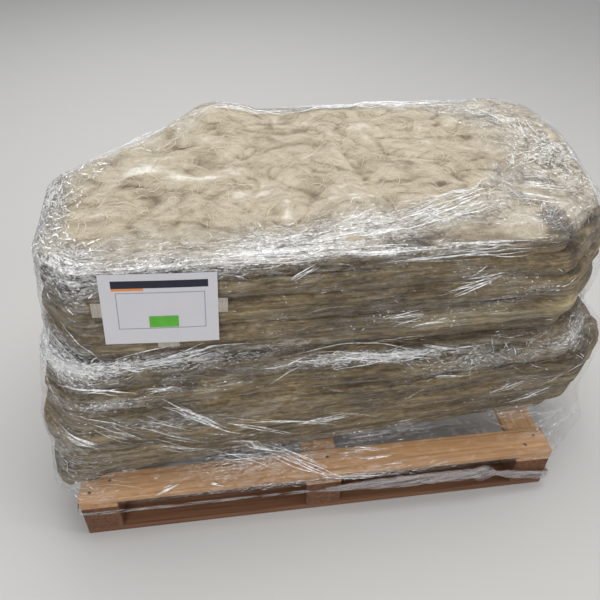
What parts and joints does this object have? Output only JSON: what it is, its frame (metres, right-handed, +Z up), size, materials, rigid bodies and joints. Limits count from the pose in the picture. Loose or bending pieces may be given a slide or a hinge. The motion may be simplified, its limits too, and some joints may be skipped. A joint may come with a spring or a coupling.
{
  "type": "stretch-wrapped pallet load of mineral wool batts",
  "caption": "Loaded wooden block pallet: soft mineral wool batts stacked in a bulging pile, held by clear stretch film turned over the top, with a taped notice on the front.",
  "frame": {"origin": "on the floor, under the middle of the pallet", "axes": "+X along the pallet's boards to the right as seen from the notice side, +Y from the notice side to the back, +Z up"},
  "size_m": [1.311, 0.8322, 0.687],
  "materials": {
    "deck_wood": "sawn",
    "bottom_wood": "sawn, darker",
    "block_wood": "sawn",
    "mineral_wool": "fibrous",
    "clear_film": "glossy clear film",
    "gathered_film": "glossy clear film, gathered",
    "notice_paper": "matt",
    "green_label": "matt",
    "masking_tape": "matt"
  },
  "bodies": {
    "root": {"batt_01": "mineral_wool", "batt_02": "mineral_wool", "batt_03": "mineral_wool", "batt_04": "mineral_wool", "batt_05": "mineral_wool", "batt_06": "mineral_wool", "batt_07": "mineral_wool", "batt_08": "mineral_wool", "batt_09": "mineral_wool", "batt_10": "mineral_wool", "batt_11": "mineral_wool", "block_front_left": "block_wood", "block_front_middle": "block_wood", "block_front_right": "block_wood", "block_middle_left": "block_wood", "block_middle_middle": "block_wood", "block_middle_right": "block_wood", "block_rear_left": "block_wood", "block_rear_middle": "block_wood", "block_rear_right": "block_wood", "bottom_board_front": "bottom_wood", "bottom_board_middle": "bottom_wood", "bottom_board_rear": "bottom_wood", "cross_board_left": "deck_wood", "cross_board_middle": "deck_wood", "cross_board_right": "deck_wood", "deck_board_1": "deck_wood", "deck_board_2": "deck_wood", "deck_board_3": "deck_wood", "deck_board_4": "deck_wood", "deck_board_5": "deck_wood", "film_rope": "gathered_film", "notice_sheet": "notice_paper", "price_sticker": "green_label", "stretch_film": "clear_film", "tape_tab_bottom": "masking_tape", "tape_tab_left": "masking_tape", "tape_tab_right": "masking_tape"}
  },
  "joints": []
}
